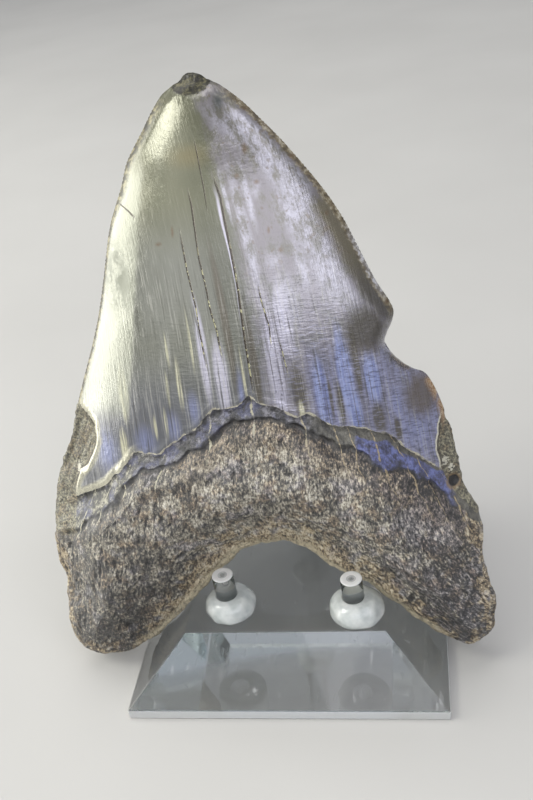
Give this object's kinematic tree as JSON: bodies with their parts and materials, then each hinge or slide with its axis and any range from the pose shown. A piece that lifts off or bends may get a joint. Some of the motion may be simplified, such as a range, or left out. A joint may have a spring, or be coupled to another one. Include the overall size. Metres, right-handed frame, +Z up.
{
  "type": "fossil tooth on a display stand",
  "caption": "Large fossil shark tooth with a rough forked root, standing upright on a clear bevelled acrylic block with short pegs.",
  "frame": {"origin": "middle of the stand block's underside, which rests on the table", "axes": "+Z up; the tooth's display side and the two short pegs face -Y; +X is to the right seen from that side"},
  "size_m": [0.0988, 0.07, 0.1212],
  "materials": {
    "fossil": "satin grey enamel over a rough mineralised root",
    "acrylic": "clear polished acrylic",
    "glue": "milky glossy glue"
  },
  "bodies": {
    "root": {"tooth": "fossil", "stand_block": "acrylic", "front_peg_left": "acrylic", "front_peg_right": "acrylic", "rear_peg": "acrylic", "glue_collar_left": "glue", "glue_collar_right": "glue", "glue_collar_rear": "glue"}
  },
  "joints": []
}
